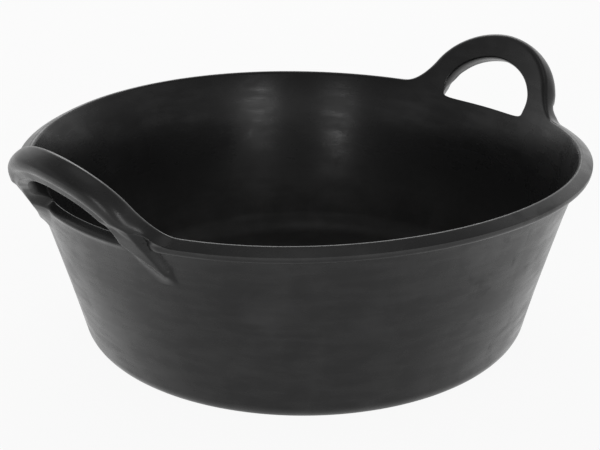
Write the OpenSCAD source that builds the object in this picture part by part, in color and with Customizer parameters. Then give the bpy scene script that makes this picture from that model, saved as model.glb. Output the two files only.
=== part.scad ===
// Rubber feed tub with two moulded loop handles.
// Millimetres, Z up, origin at the centre of the base, handles on the X axis.

/* [Tub] */
// Diameter over the rim lip
rim_d = 490; // [440:5:580]
// Height from the ground to the top of the rim
tub_h = 165; // [140:1:210]
// Diameter at which the line of the outer wall meets the ground
base_d = 392; // [340:4:420]
// Thickness of the side wall
wall_t = 7; // [5:0.5:10]
// Thickness of the floor
floor_t = 8; // [6:0.5:12]
// Radius of the rounded heel, outside
heel_r = 19; // [12:1:24]
// Radius of the fillet between floor and wall, inside
corner_r = 22; // [15:1:28]
// Height over which the wall flares out below the rim
flare_h = 50; // [44:1:80]
// Lean of the flared wall at the rim, which the handles carry on
top_lean = 23; // [18:0.5:27]

/* [Rim] */
// How far the edge of the lip reaches out past the wall at the top of the rim
lip_reach = 4; // [3:0.25:6]
// Fall along the wall from the crest of the rim to the outer edge of the lip
lip_fall = 1; // [0.75:0.25:1.5]
// Distance along the wall from the crest down to where the lip begins to turn under
lip_edge = 2; // [1.75:0.25:3]
// Height of the lip along the wall, down to the crease where its underside meets the wall
lip_h = 8.5; // [7:0.5:12]
// Roundness of the inner edge at the top of the rim
rim_round = 1.5; // [1:0.25:2.5]
// Height of the rim band, down to the seam with the side wall
band_h = 42; // [40:1:50]

/* [Handles] */
// Width of the hand opening
opening_w = 110; // [95:1:125]
// Height of the hand opening along the lean, from the sill to the top of the arch
opening_h = 47; // [42:1:60]
// Width of the loop, seen square on
loop_w = 25; // [18:0.5:28]
// Thickness of the loop from its inner to its outer face
loop_t = 20; // [15:0.5:24]
// Roundness of the outer edge along the top of the loop
loop_round = 9; // [6:0.5:11]
// Roundness of the outer edge round the hand opening
hole_round = 6; // [4:0.5:8]
// Roundness of the inner edge along the top of the loop
inner_round = 5.5; // [3:0.5:6]
// Depth of the sill below the top of the rim
sill_drop = 10; // [7:0.5:14]
// Roundness of the edge of the sill
sill_round = 4; // [2.5:0.5:6]
// Thickness of the sill, where its small lip stands out most
sill_t = 10; // [9:0.5:13]
// Radius of the hollow curve from the rim up into the loop
root_fillet = 25; // [18:1:30]
// How far out from the opening the rib of each leg runs on, along the rim
tongue_out = 35; // [30:1:42]
// How far below the rim the rib of each leg ends
tongue_drop = 30; // [26:1:34]
// Slit between each neck and its grip, at rest
neck_gap = 0.3; // [0.2:0.1:0.5]

/* [Hidden] */
$fn = 144;
rubber = [0.07, 0.07, 0.075];
rubber_dark = [0.05, 0.05, 0.055];

// The wall is a sheet with a middle line. It is straight below and flares out above.
half_t = wall_t / 2;
lean_k = tan(top_lean);
base_r = base_d / 2 - half_t;
top_r = rim_d / 2 - lip_reach - half_t / cos(top_lean);
wall_k = (top_r - base_r - flare_h * lean_k / 2) / (tub_h - flare_h / 2);
flare_q = (lean_k - wall_k) / (2 * flare_h);
wall_lean = atan(wall_k);

// Radius, height and lean of the middle line, by height above the rim top.
// Above the rim the height runs along the lean.
function above_bend(h) = max(0, h + flare_h);
function sheet_r(h) = h > 0 ? top_r + h * sin(top_lean)
    : base_r + wall_k * (tub_h + h) + flare_q * pow(above_bend(h), 2);
function sheet_z(h) = h > 0 ? tub_h + h * cos(top_lean) : tub_h + h;
function sheet_lean(h) = h > 0 ? top_lean : atan(wall_k + 2 * flare_q * above_bend(h));

// A point of the section, off the middle line by some distance, outwards positive.
function section_point(h, off) = [
    sheet_r(h) + off * cos(sheet_lean(h)),
    sheet_z(h) - off * sin(sheet_lean(h))
];

// Soft step from 0 to 1, blend, share held between 0 and 1, and the larger of two with a rounded crossing.
function held(x) = min(1, max(0, x));
function ease(x) = let (c = held(x)) c * c * (3 - 2 * c);
function mix(a, b, x) = a + (b - a) * x;
function soft_max(a, b, k) = max(a, b) + pow(max(0, k - abs(a - b)), 2) / (4 * k);

// Roundings: a superellipse by distance from the edge, and a quarter of an ellipse down from a shoulder.
edge_power = 2.2;
edge_land = 0.05;
function edge(d, r, power) = max(edge_land, pow(1 - pow(1 - held(d / r), power), 1 / power));
function shoulder(x) = sqrt(1 - pow(held(x), 2));

// Lip: from the crest it runs nearly flat out to its edge and straight down,
// then turns under in a quarter of an ellipse.
lip_power = 1.2;
crest_off = rim_round - half_t;
function lip_face(h) = let (c = min(-lip_fall, max(-lip_h, h)))
    (rim_d / 2 - sheet_r(c)) / cos(sheet_lean(c));
function lip_step(h) = shoulder((-h - lip_edge) / (lip_h - lip_edge));
function rim_outer(h) =
    crest_off + (mix(half_t, lip_face(h), lip_step(h)) - crest_off) * edge(-h, lip_fall, lip_power);
function rim_inner(h) = crest_off - (crest_off + half_t) * edge(-h, rim_round, edge_power);
band_n = 5;
rim_steps = concat(
    [for (i = [0 : band_n]) mix(-band_h, -lip_h, i / band_n)],
    [for (a = [20, 40, 60, 90]) mix(-lip_h, -lip_edge, 1 - cos(a))],
    [for (x = [1, 0.6, 0.3, 0.1, 0]) -lip_fall * x]
);

// Handle outline, drawn on the unrolled sheet: s along the rim, h up the sheet.
// The arch is a plump ellipse, widest a little below the rim top.
arch_power = 1.9;
sill_power = 6;
wide_h = -sill_drop * 0.2;
half_w = opening_w / 2;
arch_h = opening_h - sill_drop - wide_h;
outer_w = half_w + loop_w;
outer_h = arch_h + loop_w;
root_half = outer_w + root_fillet + 3;
roll_r = top_r;
root_angle = root_half / roll_r * 180 / PI;
function arch(t, w, h, p) = [w * pow(cos(t), 2 / p), wide_h + h * pow(sin(t), 2 / p)];
function arch_s(h) = outer_w * pow(1 - pow((h - wide_h) / outer_h, arch_power), 1 / arch_power);
function fillet_point(b) = let (h = root_fillet * (1 - cos(b)))
    [arch_s(h) + root_fillet * (1 - sin(b)), h];
fillet_t = asin(pow((root_fillet - wide_h) / outer_h, arch_power / 2));

// Stations round half of the opening: below the sill, beside the root, up the fillet, over the arch.
sill_n = 14;
side_n = len(rim_steps) - 1;
fillet_n = 6;
arch_n = 13;
side_at = sill_n;
fillet_at = side_at + side_n;
arch_at = fillet_at + fillet_n;
half_n = arch_at + arch_n;
neck_at = fillet_at + 4;
grip_at = arch_at;
corner_t = 35;
function share(i, from, n) = (i - from) / n;
function sill_point(t) = [
    half_w * pow(cos(t), 2 / sill_power),
    wide_h - (sill_drop + wide_h) * pow(sin(t), 2 / sill_power)
];
function hole_at(i) =
    i <= side_at ? sill_point(mix(90, corner_t, pow(share(i, 0, sill_n), 1.6)))
    : i <= fillet_at ? sill_point(mix(corner_t, 0, share(i, side_at, side_n)))
    : i <= arch_at ? arch(fillet_t * share(i, fillet_at, fillet_n), half_w, arch_h, arch_power)
    : arch(mix(fillet_t, 90, share(i, arch_at, arch_n)), half_w, arch_h, arch_power);
function rim_at(i) =
    i <= side_at ? [root_half * share(i, 0, sill_n), -band_h]
    : i <= fillet_at ? [root_half, rim_steps[i - side_at]]
    : i <= arch_at ? fillet_point(90 * share(i, fillet_at, fillet_n))
    : arch(mix(fillet_t, 90, share(i, arch_at, arch_n)), outer_w, outer_h, arch_power);
hole_line = [for (i = [0 : half_n]) hole_at(i)];
free_line = concat([[root_half + 60, 0]], [for (i = [fillet_at : half_n]) rim_at(i)]);

// Distance from a point to a leg with the share run along it, and the nearest of a line of legs.
function leg_near(p, a, b) = let (v = b - a, n = v * v, x = n > 0 ? held((p - a) * v / n) : 0)
    [norm(p - a - x * v), x];
function to_line(p, line) = min([for (i = [0 : len(line) - 2]) leg_near(p, line[i], line[i + 1])[0]]);
function line_near(p, line, i) =
    let (here = leg_near(p, line[i], line[i + 1]))
    i == 0 ? here
    : let (before = line_near(p, line, i - 1))
        here[0] < before[0] ? [here[0], i + here[1]] : before;

// Each leg of the loop runs on below the rim as a rib, in one bend, and thins to a tip on the wall.
loop_off = loop_t - half_t;
sill_off = sill_t - half_t;
rib_top = root_fillet * 0.88;
rib_start = [half_w + loop_w * 0.5, rib_top];
rib_bend = [half_w + loop_w * 0.42, -sill_drop * 0.6];
rib_tip = [half_w + tongue_out, -tongue_drop];
rib_n = 10;
rib_line = [for (i = [0 : rib_n]) let (x = i / rib_n)
    pow(1 - x, 2) * rib_start + 2 * x * (1 - x) * rib_bend + x * x * rib_tip];
rib_flat = [loop_w * 0.44, 1];
rib_slope = [6.5, 5.5];
rib_tall = [loop_off - half_t, 4];
rib_sink = 4;
rib_fillet = 1.5;
function rib_face(p) =
    let (near = line_near(p, rib_line, rib_n - 1),
        x = near[1] / rib_n,
        flat = mix(rib_flat[0], rib_flat[1], x),
        slope = mix(rib_slope[0], rib_slope[1], x),
        tall = mix(rib_tall[0], rib_tall[1], ease(x)))
    half_t - rib_sink + (tall + rib_sink) * shoulder((near[0] - flat) / slope);

// Outer face over the handle: lip, loop, sill lip and rib.
function clear_of_sill(p) = max(ease((p[0] - half_w * 0.78) / (half_w * 0.3)), ease((p[1] + 3) / 6));
function sill_face(h) = mix(half_t, sill_off, ease((h + sill_drop + 9) / 6));
function rim_face(p) =
    let (lip_here = lip_step(p[1]) * ease((p[0] - half_w - loop_w * 0.6) / (loop_w * 0.5)))
    mix(mix(half_t, lip_face(p[1]), lip_here), loop_off, ease(p[1] / rib_top));
function outer_face(p) =
    soft_max(mix(sill_face(p[1]), rim_face(p), clear_of_sill(p)), rib_face(p), rib_fillet);

// Both faces draw in towards the free edges: crisp along the rim and the sill, rounder up the loop.
hole_in = inner_round * 0.55;
hole_off = 2;
free_off = 1.5;
function climb(h) = ease(h / root_fillet);
function leave(h) = ease((h + sill_drop - 2) / 20);
function outer_share(h, to_hole, to_free) =
    edge(to_hole, mix(sill_round, hole_round, leave(h)), edge_power)
        * edge(to_free, mix(lip_fall, loop_round, climb(h)), mix(lip_power, edge_power, climb(h)));
function inner_share(h, to_hole, to_free) =
    edge(to_hole, mix(rim_round, hole_in, leave(h)), edge_power)
        * edge(to_free, mix(rim_round, inner_round, climb(h)), edge_power);
function middle_off(h, to_hole, to_free) =
    let (at_hole = mix(crest_off, hole_off, leave(h)),
        at_free = mix(crest_off, free_off, climb(h)))
    mix(at_hole, at_free, ease(to_hole / (to_hole + to_free)));

// One section through the handle at station k, from the opening to the outside.
// It runs out along the outer face and back along the inner one.
// Stations below zero lie on the other side of the opening.
row_n = 15;
function row(j) = let (x = j / (row_n - 1)) mix(x, (1 - cos(180 * x)) / 2, 0.6);
function flat_point(k, j) = mix(hole_at(abs(k)), rim_at(abs(k)), row(j));
function handle_point(k, j, outer) =
    let (p = flat_point(k, j),
        h = p[1],
        to_hole = to_line(p, hole_line),
        to_free = to_line(p, free_line),
        m = middle_off(h, to_hole, to_free),
        off = outer ? m + (outer_face(p) - m) * outer_share(h, to_hole, to_free)
            : m - (m + half_t) * inner_share(h, to_hole, to_free),
        q = section_point(h, off),
        turn = (k < 0 ? -1 : 1) * p[0] / roll_r * 180 / PI)
    [q[0] * cos(turn), q[0] * sin(turn), q[1]];
function handle_section(k) = concat(
    [for (j = [0 : row_n - 1]) handle_point(k, j, true)],
    [for (j = [row_n - 1 : -1 : 0]) handle_point(k, j, false)]
);

// Closes a run of sections into a solid, with quads split across each end.
ring_n = 2 * row_n;
module skin(sections) {
    last = len(sections) - 1;
    points = [for (s = sections, p = s) p];
    sides = [for (i = [0 : last - 1], j = [0 : ring_n - 1])
        let (a = i * ring_n + j,
            b = i * ring_n + (j + 1) % ring_n,
            c = a + ring_n,
            d = b + ring_n)
        each [[a, d, b], [a, c, d]]];
    starts = [for (j = [0 : row_n - 2])
        let (a = j, b = j + 1, c = ring_n - 2 - j, d = ring_n - 1 - j)
        each [[a, b, c], [a, c, d]]];
    ends = [for (f = starts) [for (n = [2 : -1 : 0]) f[n] + last * ring_n]];
    polyhedron(points = points, faces = concat(sides, starts, ends), convexity = 6);
}

module handle_root() {
    skin([for (k = [-neck_at : neck_at]) handle_section(k)]);
}

// The last section of each neck stops short of the grip by the slit.
module handle_neck(side) {
    sections = [for (i = [neck_at : grip_at]) handle_section(side * i)];
    n = len(sections) - 1;
    step = sections[n] - sections[n - 1];
    slit = [for (i = [0 : ring_n - 1]) sections[n][i] - step[i] * neck_gap / max(neck_gap, norm(step[i]))];
    run = [for (i = [0 : n]) i == n ? slit : sections[i]];
    skin(side > 0 ? run : [for (i = [n : -1 : 0]) run[i]]);
}

module handle_necks() {
    handle_neck(1);
    handle_neck(-1);
}

module handle_grip() {
    skin(concat(
        [for (i = [grip_at : half_n]) handle_section(i)],
        [for (i = [half_n - 1 : -1 : grip_at]) handle_section(-i)]
    ));
}

// Rim band between the handles, turned from the start angle.
module rim_arc(start) {
    outer = [for (h = rim_steps) section_point(h, rim_outer(h))];
    inner = [for (i = [len(rim_steps) - 1 : -1 : 0]) section_point(rim_steps[i], rim_inner(rim_steps[i]))];
    rotate([0, 0, start + root_angle])
        rotate_extrude(angle = 180 - 2 * root_angle)
            polygon(concat(outer, inner));
}

// The seam between the floor dish and the wall lies just above the inside fillet, square to the wall.
seam_h = floor_t + corner_r + 2 - tub_h;
wall_steps = [for (i = [0 : 10]) mix(max(seam_h + 1, -flare_h), -band_h, i / 10)];
corner_z = floor_t + corner_r;
function wall_face_r(z, off) = base_r + wall_k * z + off / cos(wall_lean);
heel_turn_r = wall_face_r(heel_r, half_t) - heel_r / cos(wall_lean);
corner_turn_r = wall_face_r(corner_z, -half_t) - corner_r / cos(wall_lean);
arc_n = 10;
function arc_point(r, z, size, a) = [r + size * cos(a), z + size * sin(a)];

module floor_dish() {
    color(rubber_dark)
        rotate_extrude()
            polygon(concat(
                [[0, 0]],
                [for (i = [0 : arc_n])
                    arc_point(heel_turn_r, heel_r, heel_r, mix(-90, -wall_lean, i / arc_n))],
                [section_point(seam_h, half_t), section_point(seam_h, -half_t)],
                [for (i = [0 : arc_n])
                    arc_point(corner_turn_r, corner_z, corner_r, mix(-wall_lean, -90, i / arc_n))],
                [[0, floor_t]]
            ));
}

module side_wall() {
    heights = concat([seam_h], wall_steps);
    color(rubber)
        rotate_extrude()
            polygon(concat(
                [for (h = heights) section_point(h, half_t)],
                [for (i = [len(heights) - 1 : -1 : 0]) section_point(heights[i], -half_t)]
            ));
}

module front_rim() {
    color(rubber_dark)
        rim_arc(180);
}

module rear_rim() {
    color(rubber_dark)
        rim_arc(0);
}

module left_root() {
    color(rubber)
        rotate([0, 0, 180])
            handle_root();
}

module right_root() {
    color(rubber)
        handle_root();
}

module left_necks() {
    color(rubber_dark)
        rotate([0, 0, 180])
            handle_necks();
}

module right_necks() {
    color(rubber_dark)
        handle_necks();
}

module left_grip() {
    color(rubber)
        rotate([0, 0, 180])
            handle_grip();
}

module right_grip() {
    color(rubber)
        handle_grip();
}

floor_dish();
side_wall();
front_rim();
rear_rim();
left_root();
right_root();
left_necks();
right_necks();
left_grip();
right_grip();
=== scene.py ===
import math

import bpy
import numpy as np
from mathutils import Matrix, Vector


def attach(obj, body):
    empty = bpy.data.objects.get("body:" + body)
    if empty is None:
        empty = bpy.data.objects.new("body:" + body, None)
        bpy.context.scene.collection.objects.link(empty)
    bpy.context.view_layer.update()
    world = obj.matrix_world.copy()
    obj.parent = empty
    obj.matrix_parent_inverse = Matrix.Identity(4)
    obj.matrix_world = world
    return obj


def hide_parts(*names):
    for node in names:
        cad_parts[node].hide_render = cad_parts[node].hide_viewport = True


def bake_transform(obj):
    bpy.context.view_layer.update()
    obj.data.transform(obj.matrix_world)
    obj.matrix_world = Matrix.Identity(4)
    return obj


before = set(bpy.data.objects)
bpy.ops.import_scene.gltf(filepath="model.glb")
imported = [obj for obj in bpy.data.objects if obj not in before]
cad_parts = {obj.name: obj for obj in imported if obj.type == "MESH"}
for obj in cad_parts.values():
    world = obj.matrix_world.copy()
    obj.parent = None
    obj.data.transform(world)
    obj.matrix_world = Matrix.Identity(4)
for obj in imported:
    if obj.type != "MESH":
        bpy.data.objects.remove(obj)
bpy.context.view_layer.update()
print("frame loaded:", ", ".join(sorted(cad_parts)))

# sizes of the moulding in metres: those of the solids, apart from a rounder crest and the curves' powers
tub = dict(rimR=0.245, height=0.165, baseR=0.196, wall=0.007, floor=0.008, heel=0.019, corner=0.022,
           flare=0.050, lean=math.radians(23), lipReach=0.004, lipFall=0.001, lipEdge=0.002, lip=0.0085,
           rimRound=0.003, lipPower=1.2, band=0.042, seam=0.002)
loop = dict(openingW=0.110, openingH=0.047, width=0.025, thick=0.020, round=0.009, inRound=0.0055,
            sillDrop=0.010, fillet=0.025, archPower=1.9, sillPower=6.0, wideAt=0.2, rootGap=0.003)

half = tub["wall"] / 2
leanK = math.tan(tub["lean"])
baseMid = tub["baseR"] - half
topR = tub["rimR"] - tub["lipReach"] - half / math.cos(tub["lean"])
wallK = (topR - baseMid - tub["flare"] * leanK / 2) / (tub["height"] - tub["flare"] / 2)
flareQ = (leanK - wallK) / (2 * tub["flare"])
wallLean = math.atan(wallK)
crestOff = tub["rimRound"] - half


# soft step: 3x^2 - 2x^3, with x held between 0 and 1
def ease(x):
    x = np.clip(x, 0, 1)
    return x * x * (3 - 2 * x)


# straight blend from a to b
def mix(a, b, x):
    return a + (b - a) * x


# the higher of a and b, with the crossing rounded by a parabola where they lie closer than k
def softMax(a, b, k):
    return np.maximum(a, b) + np.maximum(k - np.abs(a - b), 0) ** 2 / (4 * k)


# share of the full thickness at a distance d from an edge: a quarter of a superellipse of radius r,
# never thinner than a small land
edge = dict(power=2.2, land=0.02)


def edgeShare(d, r, power=edge["power"]):
    x = np.clip(d / r, 0, 1)
    return np.maximum(edge["land"], (1 - (1 - x) ** power) ** (1 / power))


# middle line of the rubber sheet by height h from the rim top:
# radius grows straight with height, plus a parabola in the flare, and goes on at the top lean above the rim
def sheetAt(h):
    low = np.maximum(0, h + tub["flare"])
    r = np.where(h > 0, topR + h * math.sin(tub["lean"]),
                 baseMid + wallK * (tub["height"] + h) + flareQ * low ** 2)
    z = np.where(h > 0, tub["height"] + h * math.cos(tub["lean"]), tub["height"] + h)
    lean = np.where(h > 0, tub["lean"], np.arctan(wallK + 2 * flareQ * low))
    return r, z, lean


# a point off the middle line: the line plus off times its outward normal
def offSheet(h, off):
    r, z, lean = sheetAt(h)
    return r + off * np.cos(lean), z - off * np.sin(lean)


# the tub has set out of round in use: oval on a slant, a little square, dipped at the handles,
# up in three lobes and at the left, with both handles pinched and drawn to the front
settling = dict(oval=0.0022, square=0.0020, dip=0.0025, lobes=0.0010, lobesAt=math.radians(-137),
                tilt=0.0008, forward=0.0065, pinch=0.0042, low=0.03, high=0.165)


# settled points: waves of the angle added to radius, height and turn, none at the foot and full at the rim
def settle(p):
    a = np.arctan2(p[:, 1], p[:, 0])
    k = ease((p[:, 2] - settling["low"]) / (settling["high"] - settling["low"]))
    drawn = settling["oval"] * np.sin(2 * a) + settling["square"] * np.cos(4 * a)
    r = np.hypot(p[:, 0], p[:, 1]) - k * drawn
    lobes = settling["lobes"] * np.cos(3 * (a - settling["lobesAt"]))
    z = p[:, 2] + k * (lobes - settling["tilt"] * np.cos(a) - settling["dip"] * np.cos(2 * a))
    a = a - k * (settling["forward"] * np.cos(a) + settling["pinch"] * np.sin(2 * a)) / topR
    return np.stack([r * np.cos(a), r * np.sin(a), z], axis=1)


# quads of a grid of rows by columns, joined round where asked
def gridFaces(rows, cols, roundRows, roundCols):
    i, j = np.meshgrid(np.arange(rows if roundRows else rows - 1),
                       np.arange(cols if roundCols else cols - 1), indexing="ij")
    i2, j2 = (i + 1) % rows, (j + 1) % cols
    return np.stack([i * cols + j, i2 * cols + j, i2 * cols + j2, i * cols + j2], axis=-1).reshape(-1, 4)


# a mesh object from points and faces, smooth but for its sharp edges, with one value per point for each name
sharpFrom = math.radians(48)


def makeMesh(name, points, faces, values):
    mesh = bpy.data.meshes.new(name)
    mesh.from_pydata(points.tolist(), [], faces)
    mesh.validate()
    for key, v in values.items():
        attribute = mesh.attributes.new(key, "FLOAT", "POINT")
        attribute.data.foreach_set("value", np.ascontiguousarray(v, np.float32))
    mesh.polygons.foreach_set("use_smooth", np.ones(len(mesh.polygons), bool))
    mesh.set_sharp_from_angle(angle=sharpFrom)
    obj = bpy.data.objects.new(name, mesh)
    bpy.context.scene.collection.objects.link(obj)
    return obj


# a section turned about Z: (r cos a, r sin a, z)
def turned(r, z, a):
    r, a2 = np.meshgrid(r, a, indexing="ij")
    z2 = np.repeat(z[:, None], len(a), axis=1)
    return np.stack([r * np.cos(a2), r * np.sin(a2), z2], axis=-1).reshape(-1, 3)


# floor dish: foot, heel arc and seam outside, then the fillet and the floor inside,
# turned about Z with a pole on each side
floorSet = dict(cols=360, flat=40, arc=24, seamStep=0.001)
seamH = tub["floor"] + tub["corner"] + tub["seam"] - tub["height"]


# radius of a face of the straight wall at height z: the middle line plus the offset laid level
def faceR(z, off):
    return baseMid + wallK * z + off / math.cos(wallLean)


def makeFloor():
    heelR = faceR(tub["heel"], half) - tub["heel"] / math.cos(wallLean)
    cornerZ = tub["floor"] + tub["corner"]
    cornerR = faceR(cornerZ, -half) - tub["corner"] / math.cos(wallLean)
    flat = np.linspace(0, 1, floorSet["flat"] + 1)[1:-1]
    up = np.radians(np.linspace(-90, -math.degrees(wallLean), floorSet["arc"]))
    down = up[::-1]
    seam = np.array([seamH - floorSet["seamStep"], seamH])
    so, zo = offSheet(seam, half)
    si, zi = offSheet(seam[::-1], -half)
    r = np.concatenate([flat * heelR, heelR + tub["heel"] * np.cos(up), so, si,
                        cornerR + tub["corner"] * np.cos(down), cornerR * flat[::-1]])
    z = np.concatenate([0 * flat, tub["heel"] + tub["heel"] * np.sin(up), zo, zi,
                        cornerZ + tub["corner"] * np.sin(down), 0 * flat + tub["floor"]])
    n = floorSet["cols"]
    p = turned(r, z, np.arange(n) * 2 * math.pi / n)
    rows = len(r)
    first, last = len(p), len(p) + 1
    p = settle(np.concatenate([p, [[0, 0, 0], [0, 0, tub["floor"]]]]))
    quads = gridFaces(rows, n, False, True)[:, ::-1]
    j = np.arange(n)
    j2 = (j + 1) % n
    low = np.stack([np.full(n, first), j2, j], axis=1)
    top = np.stack([np.full(n, last), (rows - 1) * n + j, (rows - 1) * n + j2], axis=1)
    far = np.full(len(p), 1.0)
    inside = np.repeat(np.arange(rows) >= len(flat) + len(up) + len(so), n)
    inside = np.concatenate([inside, [False, True]])
    obj = makeMesh("tubFloor", p, quads.tolist() + low.tolist() + top.tolist(),
                   dict(parting=far, crest=far, inside=inside))
    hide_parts("floor_dish")
    return obj


# side wall: the sheet from the seam up to the rim band, both faces, turned right round
wallSet = dict(cols=480, rows=64)


def makeWall():
    h = np.linspace(seamH, -tub["band"], wallSet["rows"])
    ro, zo = offSheet(h, half)
    ri, zi = offSheet(h[::-1], -half)
    n = wallSet["cols"]
    p = settle(turned(np.concatenate([ro, ri]), np.concatenate([zo, zi]), np.arange(n) * 2 * math.pi / n))
    far = np.full(len(p), 1.0)
    inside = np.repeat(np.arange(2 * len(h)) >= len(h), n)
    obj = makeMesh("tubWall", p, gridFaces(2 * len(h), n, True, True)[:, ::-1].tolist(),
                   dict(parting=far, crest=far, inside=inside))
    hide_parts("side_wall")
    return obj


# offset of the lip's upright edge from the sheet: the gap in radius laid along the normal
def lipFace(h):
    r, z, lean = sheetAt(np.clip(h, -tub["lip"], -tub["lipFall"]))
    return (tub["rimR"] - r) / np.cos(lean)


# share of the lip's reach: full down to its edge, then a quarter of an ellipse back under to the wall
def lipStep(h):
    return np.sqrt(1 - np.clip((-h - tub["lipEdge"]) / (tub["lip"] - tub["lipEdge"]), 0, 1) ** 2)


# outer face of the rim: from the crest nearly flat out to the lip's edge, then the lip and the wall below it
def rimOuter(h):
    reach = mix(half, lipFace(h), lipStep(h)) - crestOff
    return crestOff + reach * edgeShare(-h, tub["lipFall"], tub["lipPower"])


# inner face of the rim: the wall, drawn in to the crest by edgeShare
def rimInner(h):
    return crestOff - (crestOff + half) * edgeShare(-h, tub["rimRound"])


# rim band between the handles: the section turned through part of a circle,
# with a ladder of quads over each end
rimSet = dict(cols=260, band=22, lip=26, edge=5, top=26, crowd=1.5)
outerW = loop["openingW"] / 2 + loop["width"]
rootHalf = outerW + loop["fillet"] + loop["rootGap"]
rootAngle = rootHalf / topR


# heights of the rim section: even up the band, by a cosine under the lip and by a power up to the crest
def rimHeights(bandN, lipN, topN):
    low = np.linspace(-tub["band"], -tub["lip"], bandN)
    mid = mix(-tub["lip"], -tub["lipEdge"], 1 - np.cos(np.linspace(0, math.pi / 2, lipN)))[1:]
    top = np.linspace(-tub["lipEdge"], -tub["lipFall"], rimSet["edge"])[1:]
    crest = -tub["lipFall"] * np.linspace(1, 0, topN)[1:] ** rimSet["crowd"]
    return np.concatenate([low, mid, top, crest])


def makeRim(name, node, start):
    h = rimHeights(rimSet["band"], rimSet["lip"], rimSet["top"])
    ro, zo = offSheet(h, rimOuter(h))
    ri, zi = offSheet(h[::-1], rimInner(h[::-1]))
    a = start + np.linspace(rootAngle, math.pi - rootAngle, rimSet["cols"])
    n, rows = len(a), 2 * len(h)
    p = settle(turned(np.concatenate([ro, ri]), np.concatenate([zo, zi]), a))
    quads = gridFaces(rows, n, True, False)[:, ::-1]
    i = np.arange(len(h) - 1)
    k = rows - 1 - i
    ends = np.stack([i * n, (i + 1) * n, (k - 1) * n, k * n], axis=1)
    faces = quads.tolist() + ends.tolist() + (ends[:, ::-1] + n - 1).tolist()
    far = np.full(len(p), 1.0)
    crest = np.concatenate([-h, -h[::-1]])
    obj = makeMesh(name, p, faces, dict(parting=far, crest=np.repeat(crest, n)))
    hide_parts(node)
    return obj


# outlines on the unrolled sheet, s along the rim and h up it
halfW = loop["openingW"] / 2
wideH = -loop["wideAt"] * loop["sillDrop"]
archH = loop["openingH"] - loop["sillDrop"] - wideH
outerH = archH + loop["width"]


# arch: a superellipse about (0, wideH)
def arch(t, w, h):
    q = 2 / loop["archPower"]
    return np.stack([w * np.cos(t).clip(0) ** q, wideH + h * np.sin(t) ** q], axis=1)


# sill: the lower half of a squarer superellipse
def sill(t):
    q = 2 / loop["sillPower"]
    h = wideH - (loop["sillDrop"] + wideH) * np.sin(t) ** q
    return np.stack([halfW * np.cos(t).clip(0) ** q, h], axis=1)


# hollow curve from the rim up to the arch: a quarter circle hung on the arch's own width
def filletLine(b):
    h = loop["fillet"] * (1 - np.cos(b))
    s = outerW * (1 - ((h - wideH) / outerH) ** loop["archPower"]) ** (1 / loop["archPower"])
    return np.stack([s + loop["fillet"] * (1 - np.sin(b)), h], axis=1)


# distance of each point from a line of points, leg by leg over whole arrays,
# the share of the line run there, and how far it lies to the left of the line's run
def lineNear(p, line):
    a, v = line[:-1], np.diff(line, axis=0)
    w = p[:, None, :] - a[None]
    x = np.clip((w * v).sum(-1) / np.maximum((v * v).sum(-1), 1e-18), 0, 1)
    d = np.sqrt(((w - x[..., None] * v) ** 2).sum(-1))
    best = d.argmin(1)
    each = np.arange(len(p))
    w = w[each, best]
    side = (v[best, 0] * w[:, 1] - v[best, 1] * w[:, 0]) / np.hypot(*v[best].T)
    return d[each, best], (best + x[each, best]) / len(a), side


# handle, root to root in one skin: rows from the hand opening out to the free outline,
# stations round the opening
handleSet = dict(sill=48, side=48, fillet=26, arch=70, rows=60, band=16, lip=18, top=18,
                 cornerT=math.radians(35), sillCrowd=1.6, rowCrowd=0.85, freeRun=0.06,
                 bendFrom=0.002, bendTo=0.032, bendOff=0.004)


# hand opening and outline of half a handle, from the middle of the sill to the top of the arch,
# each as sill or foot, side, fillet and arch in turn; and the free edge alone
def handleOutlines():
    c = handleSet
    h = rimHeights(c["band"], c["lip"], c["top"])
    side = np.interp(np.linspace(0, len(h) - 1, c["side"] + 1), np.arange(len(h)), h)
    filletT = math.asin(((loop["fillet"] - wideH) / outerH) ** (loop["archPower"] / 2))
    u = np.linspace(0, 1, c["sill"] + 1)
    v = np.linspace(0, 1, c["side"] + 1)
    w = np.linspace(0, 1, c["fillet"] + 1)
    x = np.linspace(0, 1, c["arch"] + 1)
    upper = mix(filletT, math.pi / 2, x)
    hole = np.concatenate([sill(mix(math.pi / 2, c["cornerT"], u ** c["sillCrowd"])),
                           sill(mix(c["cornerT"], 0, v))[1:], arch(filletT * w, halfW, archH)[1:],
                           arch(upper, halfW, archH)[1:]])
    outline = np.concatenate([np.stack([rootHalf * u, 0 * u - tub["band"]], axis=1),
                              np.stack([0 * v + rootHalf, side], axis=1)[1:],
                              filletLine(w * math.pi / 2)[1:], arch(upper, outerW, outerH)[1:]])
    free = np.concatenate([[[rootHalf + c["freeRun"], 0]], outline[c["sill"] + c["side"]:]])
    return hole, outline, free


# the rib of the loop runs on below the rim: a parabola from the loop in one bend out to a tip on the wall
rib = dict(top=0.022, start=0.18, bendAt=0.40, bendH=-0.006, tipOut=0.035, tipDrop=0.030, steps=25,
           flat=0.0125, slope=0.0065, sink=0.004, fillet=0.0018, lowSoft=0.008,
           tipFlat=0.0005, tipSlope=0.004, tipLow=0.016, tipTall=0.0045, tipFillet=0.004)


def ribLine():
    start = np.array([halfW + loop["width"] * rib["start"], rib["top"]])
    bend = np.array([halfW + loop["width"] * rib["bendAt"], rib["bendH"]])
    tip = np.array([halfW + rib["tipOut"], -rib["tipDrop"]])
    x = np.linspace(0, 1, rib["steps"])[:, None]
    return (1 - x) ** 2 * start + 2 * x * (1 - x) * bend + x * x * tip


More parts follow.
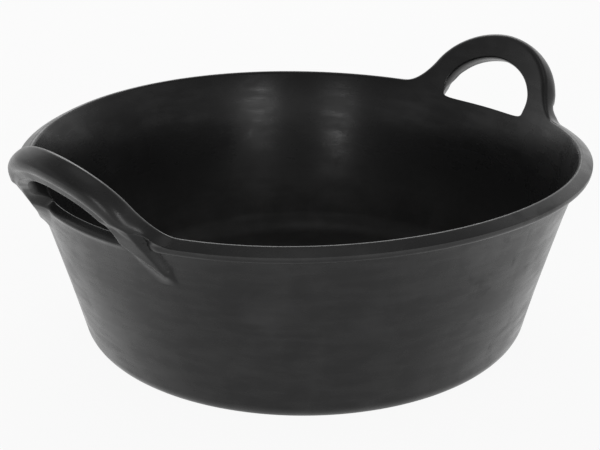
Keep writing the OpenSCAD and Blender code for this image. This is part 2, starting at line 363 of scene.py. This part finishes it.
# rib height: full over a flat, then a quarter of an ellipse down the upper side and a straight, wider slope
# down the lower one; it narrows and thins from the loop to its tip
def ribFace(p):
    d, x, side = lineNear(p, ribLine())
    flat = mix(rib["flat"], rib["tipFlat"], x)
    low = ease(0.5 - side / rib["lowSoft"])
    slope = mix(rib["slope"], mix(rib["tipSlope"], rib["tipLow"], low), ease(x))
    tall = mix(loop["thick"] - 2 * half - rib["fillet"], rib["tipTall"], ease(x)) + rib["sink"]
    fall = np.clip((d - flat) / slope, 0, 1)
    height = half - rib["sink"] + tall * mix(np.sqrt(1 - fall ** 2), 1 - fall, low * ease(2 * x))
    return height, mix(rib["fillet"], rib["tipFillet"], ease(2 * x))


# outer face over the sheet: sill under the opening, lip beside it and loop above, each eased into the next,
# or the rib where that is higher
faceSet = dict(sillThick=0.0078, sillH=0.009, sillRise=0.006, clearFrom=0.78, clearOver=0.3, clearH=0.003,
               clearRise=0.006, lipFrom=0.6, lipOver=0.9)


def handleFace(p):
    s, h = p[:, 0], p[:, 1]
    c = faceSet
    clear = np.maximum(ease((s - halfW * c["clearFrom"]) / (halfW * c["clearOver"])),
                       ease((h + c["clearH"]) / c["clearRise"]))
    sillFace = mix(half, c["sillThick"] - half, ease((h + loop["sillDrop"] + c["sillH"]) / c["sillRise"]))
    lipHere = lipStep(h) * ease((s - halfW - loop["width"] * c["lipFrom"]) / (loop["width"] * c["lipOver"]))
    rimFace = mix(mix(half, lipFace(h), lipHere), loop["thick"] - half, ease(h / rib["top"]))
    return softMax(mix(sillFace, rimFace, clear), *ribFace(p))


# both faces as offsets from the sheet, drawn in at the edges by edgeShare about a line between the edges:
# the loop's lower edge is a slanting band cut into the outer face, the sill slopes out and down,
# and a soft lengthwise ridge carries the edge of the lip on up the loop
edgeSet = dict(holeIn=0.003, holeBand=0.0055, holeCut=0.33, cutPower=1.3, holeOff=0.002, freeOff=0.0015,
               sillBevel=0.003, bevelSoft=0.5, sillIn=0.0004, sillOff=-0.003, leaveH=0.002, leaveRise=0.020,
               ridgeAt=0.010, ridgeSoft=0.004, ridgeStep=0.0012)


def handleOffsets(p, toHole, toFree):
    c = edgeSet
    h = p[:, 1]
    climb = ease(h / loop["fillet"])
    leave = ease((h + loop["sillDrop"] - c["leaveH"]) / c["leaveRise"])
    bandShare = 1 - c["holeCut"] * (1 - np.clip(toHole / c["holeBand"], 0, 1)) ** c["cutPower"]
    sillShare = np.maximum(edge["land"], -softMax(-toHole / c["sillBevel"], -1.0, c["bevelSoft"]))
    outShare = (mix(sillShare, bandShare, leave)
                * edgeShare(toFree, mix(tub["lipFall"], loop["round"], climb),
                            mix(tub["lipPower"], edge["power"], climb)))
    inShare = (edgeShare(toHole, mix(c["sillIn"], c["holeIn"], leave))
               * edgeShare(toFree, mix(tub["rimRound"], loop["inRound"], climb)))
    m = mix(mix(c["sillOff"], c["holeOff"], leave), mix(crestOff, c["freeOff"], climb),
            ease(toHole / (toHole + toFree)))
    ridge = c["ridgeStep"] * climb * ease((toFree - c["ridgeAt"]) / c["ridgeSoft"])
    return m + (handleFace(p) - ridge - m) * outShare, m - (m + half) * inShare


# distance from the parting line along the lower edge of the loop, which ends short of the rim
partingSet = dict(toHole=0.0055, away=0.01, endH=0.008, endRise=0.006)


def partingAway(h, toHole):
    c = partingSet
    return np.abs(c["toHole"] - toHole) + c["away"] * ease((c["endH"] - h) / c["endRise"])


# both halves of the handle: the stations, then their mirror running back round
def bothHalves(q, sign=1):
    return np.concatenate([q, sign * q[:, -2:0:-1]], axis=1)


def makeHandle(name, side, nodes):
    hole, outline, free = handleOutlines()
    x = np.linspace(0, 1, handleSet["rows"])
    x = mix(x, (1 - np.cos(math.pi * x)) / 2, handleSet["rowCrowd"])
    n, rows = len(hole), len(x)
    p = mix(hole[None], outline[None], x[:, None, None]).reshape(-1, 2)
    toFree, toHole = lineNear(p, free)[0], lineNear(p, hole)[0]
    s, h = p[:, 0], p[:, 1]
    outOff, inOff = handleOffsets(p, toHole, toFree)
    ro, zo = offSheet(h, outOff)
    ri, zi = offSheet(h, inOff)
    # the outer face row by row, then the inner face back again
    faces = [(ro, ri, 1), (zo, zi, 1), (s / topR, s / topR, -1)]
    r, z, t = [bothHalves(np.concatenate([o.reshape(rows, n), i.reshape(rows, n)[::-1]]), sign)
               for o, i, sign in faces]
    t = t + (0 if side > 0 else math.pi)
    p = settle(np.stack([r * np.cos(t), r * np.sin(t), z], axis=-1).reshape(-1, 3))
    far = np.full((rows, n), 1.0)
    parting = bothHalves(np.concatenate([partingAway(h, toHole).reshape(rows, n), far])).ravel()
    crest = bothHalves(np.concatenate([toFree.reshape(rows, n), toFree.reshape(rows, n)[::-1]])).ravel()
    obj = makeMesh(name, p, gridFaces(2 * rows, r.shape[1], True, True).tolist(),
                   dict(parting=parting, crest=crest))
    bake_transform(obj)
    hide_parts(*nodes)
    return obj


tubPieces = [makeFloor(), makeWall(), makeRim("frontRim", "front_rim", math.pi),
             makeRim("rearRim", "rear_rim", 0)]
for piece in tubPieces:
    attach(piece, "tub")
handlePieces = [makeHandle("rightHandle", 1, ("right_root", "right_necks", "right_grip")),
                makeHandle("leftHandle", -1, ("left_root", "left_necks", "left_grip"))]
rubberPieces = tubPieces + handlePieces
print("pieces:", [(o.name, len(o.data.polygons)) for o in rubberPieces])


# a node with its settings, and links from other sockets
def addNode(tree, kind, inputs=None, **settings):
    node = tree.nodes.new(kind)
    for key, v in settings.items():
        setattr(node, key, v)
    for key, v in (inputs or {}).items():
        if isinstance(v, bpy.types.NodeSocket):
            tree.links.new(v, node.inputs[key])
        else:
            node.inputs[key].default_value = v
    return node


# soft ramp of a value from one stop to the next, a stop being (value, result)
def addRamp(tree, value, stops):
    (low, atLow), (high, atHigh) = stops
    node = addNode(tree, "ShaderNodeMapRange", {0: value, 1: low, 2: high, 3: atLow, 4: atHigh},
                   interpolation_type="SMOOTHSTEP")
    return node.outputs[0]


def addMath(tree, kind, a, b=0.0):
    return addNode(tree, "ShaderNodeMath", {0: a, 1: b}, operation=kind).outputs[0]


def addVector(tree, kind, a, b=(0, 0, 0)):
    return addNode(tree, "ShaderNodeVectorMath", {0: a, 1: b}, operation=kind)


def addNoise(tree, where, scale, detail, rough=0.5, twist=0.0):
    return addNode(tree, "ShaderNodeTexNoise", {"Vector": where, "Scale": scale, "Detail": detail,
                                                "Roughness": rough, "Distortion": twist}).outputs[0]


def addBlend(tree, share, a, b):
    return addNode(tree, "ShaderNodeMix", {0: share, 6: a, 7: b}, data_type="RGBA").outputs[2]


# satin black rubber: cloudy bloom, a film of smears round the wall, feed dust inside near the floor,
# slight waviness, fine grain, the parting line with painted shade in its groove, a painted highlight along
# the crests and free edges, and a few dull dabs on the side that faces dabWay
rubberSet = dict(dark=(0.015, 0.015, 0.0153, 1), pale=(0.030, 0.030, 0.0305, 1),
                 dust=(0.062, 0.061, 0.060, 1), crestHighlight=(0.06, 0.06, 0.06, 1), grooveShade=(0.004, 0.004, 0.004, 1),
                 cloudScale=13.0, filmScale=26.0, waveScale=28.0, grainScale=900.0, dabScale=38.0,
                 smearRise=5.0, dabWay=(0.407, -0.913, 0),
                 cloud=((0.42, 0.0), (0.75, 1.0)), blot=((0.35, 0.0), (0.68, 1.0)),
                 smear=((0.38, 0.0), (0.68, 1.0)),
                 line=((0.0003, 1.0), (0.0009, 0.0)), crest=((0.0005, 1.0), (0.0040, 0.0)),
                 dustRise=((0.008, 1.0), (0.110, 0.0)), dustPatch=((0.25, 0.6), (0.75, 1.0)),
                 dab=((0.52, 0.0), (0.66, 1.0)), dabSide=((0.80, 0.0), (0.95, 0.16)),
                 blotShare=0.55, smearShare=0.45, crestHighlightShare=0.35, grooveShadeShare=0.8,
                 rough=0.33, roughFilm=0.14, roughDust=0.30, shine=0.36, shineFilm=0.14, shineLine=0.15,
                 grainTall=0.00006, lineTall=-0.0004, waveTall=0.00025, bump=0.5)


def makeRubber():
    c = rubberSet
    mat = bpy.data.materials.new("rubber")
    mat.use_nodes = True
    tree = mat.node_tree
    tree.nodes.clear()
    place = addNode(tree, "ShaderNodeTexCoord").outputs["Object"]
    parts = addNode(tree, "ShaderNodeSeparateXYZ", {0: place}).outputs
    flat = addNode(tree, "ShaderNodeCombineXYZ", {0: parts[0], 1: parts[1]}).outputs[0]
    stretched = addMath(tree, "MULTIPLY", parts[2], c["smearRise"])
    rise = addNode(tree, "ShaderNodeCombineXYZ", {2: stretched}).outputs[0]
    around = addVector(tree, "ADD", flat, rise).outputs[0]
    cloud = addNoise(tree, place, c["cloudScale"], 5.0, 0.55, 0.6)
    smear = addNoise(tree, around, c["filmScale"], 4.0, 0.55)
    blot = addNoise(tree, place, c["filmScale"], 4.0, 0.6, 0.4)
    wave = addNoise(tree, place, c["waveScale"], 3.0)
    grain = addNoise(tree, place, c["grainScale"], 2.0)
    spot = addNoise(tree, place, c["dabScale"], 3.0, 0.6, 0.8)
    film = addMath(tree, "ADD", addMath(tree, "MULTIPLY", addRamp(tree, blot, c["blot"]), c["blotShare"]),
                   addMath(tree, "MULTIPLY", addRamp(tree, smear, c["smear"]), c["smearShare"]))
    bloom = addMath(tree, "MULTIPLY", addRamp(tree, cloud, c["cloud"]), film)
    parting = addNode(tree, "ShaderNodeAttribute", attribute_name="parting").outputs["Fac"]
    # line: the parting line, sunk by the bump, made duller, and darkened by painted shade in its groove
    line = addRamp(tree, addMath(tree, "ABSOLUTE", parting), c["line"])
    crest = addNode(tree, "ShaderNodeAttribute", attribute_name="crest").outputs["Fac"]
    # painted highlight: a lighter colour near the crests and free edges
    crestHighlight = addRamp(tree, crest, c["crest"])
    inside = addNode(tree, "ShaderNodeAttribute", attribute_name="inside").outputs["Fac"]
    dust = addMath(tree, "MULTIPLY", inside, addRamp(tree, parts[2], c["dustRise"]))
    dust = addMath(tree, "MULTIPLY", dust, addRamp(tree, blot, c["dustPatch"]))
    tone = addBlend(tree, bloom, c["dark"], c["pale"])
    tone = addBlend(tree, dust, tone, c["dust"])
    # blend in the painted highlight along the crests and free edges
    tone = addBlend(tree, addMath(tree, "MULTIPLY", crestHighlight, c["crestHighlightShare"]), tone, c["crestHighlight"])
    # painted shade along the parting line's groove
    tone = addBlend(tree, addMath(tree, "MULTIPLY", line, c["grooveShadeShare"]), tone, c["grooveShade"])
    rough = addMath(tree, "SUBTRACT", c["rough"], addMath(tree, "MULTIPLY", film, c["roughFilm"]))
    rough = addMath(tree, "ADD", rough, addMath(tree, "MULTIPLY", dust, c["roughDust"]))
    height = addMath(tree, "ADD", addMath(tree, "MULTIPLY", grain, c["grainTall"]),
                     addMath(tree, "MULTIPLY", line, c["lineTall"]))
    height = addMath(tree, "ADD", height, addMath(tree, "MULTIPLY", wave, c["waveTall"]))
    bump = addNode(tree, "ShaderNodeBump", {"Height": height, "Strength": c["bump"], "Distance": 1.0})
    facing = addVector(tree, "DOT_PRODUCT", addVector(tree, "NORMALIZE", flat).outputs[0], c["dabWay"])
    dabs = addMath(tree, "MULTIPLY", addRamp(tree, spot, c["dab"]),
                   addRamp(tree, facing.outputs["Value"], c["dabSide"]))
    shine = addMath(tree, "ADD", addMath(tree, "MULTIPLY", film, c["shineFilm"]), c["shine"])
    dull = addMath(tree, "ADD", addMath(tree, "MULTIPLY", line, c["shineLine"]), dabs)
    shader = addNode(tree, "ShaderNodeBsdfPrincipled", {
        "Base Color": tone, "Roughness": rough, "IOR": 1.5,
        "Specular IOR Level": addMath(tree, "SUBTRACT", shine, dull), "Normal": bump.outputs[0]})
    addNode(tree, "ShaderNodeOutputMaterial", {0: shader.outputs[0]})
    return mat


rubber = makeRubber()
for piece in rubberPieces:
    piece.data.materials.append(rubber)
print("materials done")


# camera: height and turn of the photograph, with its small roll
shot = dict(azimuth=-40.95, elevation=22.51, distance=1.1830, aim=(0, 0, 0.0817), lens=78.71, sensor=36.0,
            roll=0.0048, shiftX=-0.0076, shiftY=0.0099)
camTurn = math.radians(shot["azimuth"])
camRise = math.radians(shot["elevation"])
back = Vector((math.sin(camTurn) * math.cos(camRise), -math.cos(camTurn) * math.cos(camRise),
               math.sin(camRise)))
level = Vector((back.x, back.y, 0)).normalized()


def makeCamera():
    right = Vector((math.cos(camTurn), math.sin(camTurn), 0))
    up = back.cross(right)
    right, up = right - up * shot["roll"], up + right * shot["roll"]
    axes = Matrix((right.normalized(), up.normalized(), back)).transposed().to_4x4()
    cam = bpy.data.objects.new("camera", bpy.data.cameras.new("camera"))
    bpy.context.scene.collection.objects.link(cam)
    cam.matrix_world = Matrix.Translation(Vector(shot["aim"]) + back * shot["distance"]) @ axes
    cam.data.lens = shot["lens"]
    cam.data.sensor_width = shot["sensor"]
    cam.data.shift_x = shot["shiftX"]
    cam.data.shift_y = shot["shiftY"]
    bpy.context.scene.camera = cam


# white where the camera sees it straight; the object gets plain light
def seenDirect(tree):
    path = addNode(tree, "ShaderNodeLightPath")
    return addMath(tree, "MAXIMUM", path.outputs["Is Camera Ray"], path.outputs["Is Transmission Ray"])


# a white tent round the table, by rise of the view and by nearness to the camera's side:
# brightest behind the tub, dim at its sides, dark high up in front, with a pale top
tentSet = dict(side=0.42, high=0.13, behind=0.58, front=0.05, top=0.50, behindNear=(-0.9, 0.0),
               behindRise=(0.65, 0.85), frontNear=(0.1, 1.0), gapNear=(0.2, 0.7), gapRise=(0.32, 0.44),
               sideRise=(0.45, 0.70), topRise=(0.93, 0.99))


def makeTent():
    c = tentSet
    world = bpy.data.worlds.new("studio")
    bpy.context.scene.world = world
    world.use_nodes = True
    tree = world.node_tree
    tree.nodes.clear()
    way = addNode(tree, "ShaderNodeTexCoord").outputs["Generated"]
    rise = addNode(tree, "ShaderNodeSeparateXYZ", {0: way}).outputs[2]
    flat = addVector(tree, "MULTIPLY", way, (1, 1, 0)).outputs[0]
    flat = addVector(tree, "NORMALIZE", flat).outputs[0]
    near = addVector(tree, "DOT_PRODUCT", flat, level).outputs["Value"]
    behind = addMath(tree, "MULTIPLY", addRamp(tree, near, zip(c["behindNear"], (c["behind"], 0.0))),
                     addRamp(tree, rise, zip(c["behindRise"], (1.0, 0.0))))
    front = addMath(tree, "MULTIPLY", addRamp(tree, near, zip(c["frontNear"], (0.0, c["front"]))),
                    addRamp(tree, rise, zip(c["gapRise"], (1.0, 0.0))))
    gap = addMath(tree, "MULTIPLY", addRamp(tree, near, zip(c["gapNear"], (0.0, c["side"] - c["high"]))),
                  addRamp(tree, rise, zip(c["gapRise"], (0.0, 1.0))))
    side = addRamp(tree, rise, zip(c["sideRise"], (c["side"], c["high"])))
    side = addMath(tree, "MAXIMUM", addMath(tree, "SUBTRACT", side, gap), c["high"])
    walls = addMath(tree, "ADD", addMath(tree, "ADD", behind, front), side)
    over = addRamp(tree, rise, zip(c["topRise"], (0.0, 1.0)))
    tent = addNode(tree, "ShaderNodeMix", {0: over, 2: walls, 3: c["top"]}).outputs[0]
    seen = addNode(tree, "ShaderNodeBackground", {"Color": (1, 1, 1, 1), "Strength": 1.0})
    air = addNode(tree, "ShaderNodeBackground", {"Color": (1, 1, 1, 1), "Strength": tent})
    both = addNode(tree, "ShaderNodeMixShader", {0: seenDirect(tree), 1: air.outputs[0], 2: seen.outputs[0]})
    addNode(tree, "ShaderNodeOutputWorld", {0: both.outputs[0]})


# white floor: reflections see it glow bright at the sides and far off, a painted light, and dim in front, a
# painted shade of the tub
# side and front: strengths of the glow that reflections see, a painted light at the sides and a painted
# shade of the tub in front
tableSet = dict(reach=6, drop=0.0004, white=0.85, seen=0.93, side=0.95, front=0.55, sideNear=(0.5, 0.95),
                farOff=(0.40, 0.62))


def makeTable():
    c = tableSet
    mat = bpy.data.materials.new("studioFloor")
    mat.use_nodes = True
    tree = mat.node_tree
    tree.nodes.clear()
    glossy = addNode(tree, "ShaderNodeLightPath").outputs["Is Glossy Ray"]
    paint = addNode(tree, "ShaderNodeBsdfDiffuse", {"Color": (c["white"],) * 3 + (1,)})
    glow = addNode(tree, "ShaderNodeEmission", {"Color": (1, 1, 1, 1), "Strength": 1.0})
    place = addNode(tree, "ShaderNodeTexCoord").outputs["Object"]
    away = addVector(tree, "LENGTH", place).outputs["Value"]
    flat = addVector(tree, "NORMALIZE", place).outputs[0]
    near = addVector(tree, "DOT_PRODUCT", flat, level).outputs["Value"]
    # painted light and shade in reflections: glow bright at the sides and far off, dimmer in front as a
    # painted shade of the tub
    mirroredLightAndShade = addMath(tree, "MAXIMUM", addRamp(tree, near, zip(c["sideNear"], (c["side"], c["front"]))),
                       addRamp(tree, away, zip(c["farOff"], (c["front"], c["side"]))))
    share = addMath(tree, "MAXIMUM", addMath(tree, "MULTIPLY", seenDirect(tree), c["seen"]),
                    addMath(tree, "MULTIPLY", glossy, mirroredLightAndShade))
    both = addNode(tree, "ShaderNodeMixShader", {0: share, 1: paint.outputs[0], 2: glow.outputs[0]})
    addNode(tree, "ShaderNodeOutputMaterial", {0: both.outputs[0]})
    mesh = bpy.data.meshes.new("studioFloor")
    corners = [(-1, -1), (1, -1), (1, 1), (-1, 1)]
    mesh.from_pydata([(x * c["reach"], y * c["reach"], -c["drop"]) for x, y in corners], [], [(0, 1, 2, 3)])
    mesh.materials.append(mat)
    obj = bpy.data.objects.new("studioFloor", mesh)
    bpy.context.scene.collection.objects.link(obj)
    return obj


# a soft box by turn from the camera, height and distance, facing the tub
def softBox(name, turn, height, distance, size, watts, aim=(0, 0, 0.10)):
    t = camTurn + math.radians(turn)
    light = bpy.data.lights.new(name, "AREA")
    light.shape = "RECTANGLE"
    light.size, light.size_y = size
    light.energy = watts
    obj = bpy.data.objects.new(name, light)
    bpy.context.scene.collection.objects.link(obj)
    obj.location = (math.sin(t) * distance, -math.cos(t) * distance, height)
    obj.rotation_mode = "QUATERNION"
    obj.rotation_quaternion = (obj.location - Vector(aim)).to_track_quat("Z", "Y")


makeCamera()
makeTent()
studioFloor = makeTable()
softBox("backBox", turn=180, height=1.25, distance=1.65, size=(1.2, 0.7), watts=6.6)
softBox("leftStrip", turn=-17.5, height=0.64, distance=2.2, size=(0.12, 0.9), watts=3.9)
softBox("rightStrip", turn=27, height=0.64, distance=2.2, size=(0.12, 0.9), watts=5.4)
bpy.context.scene.view_settings.view_transform = "Standard"
print("studio done")
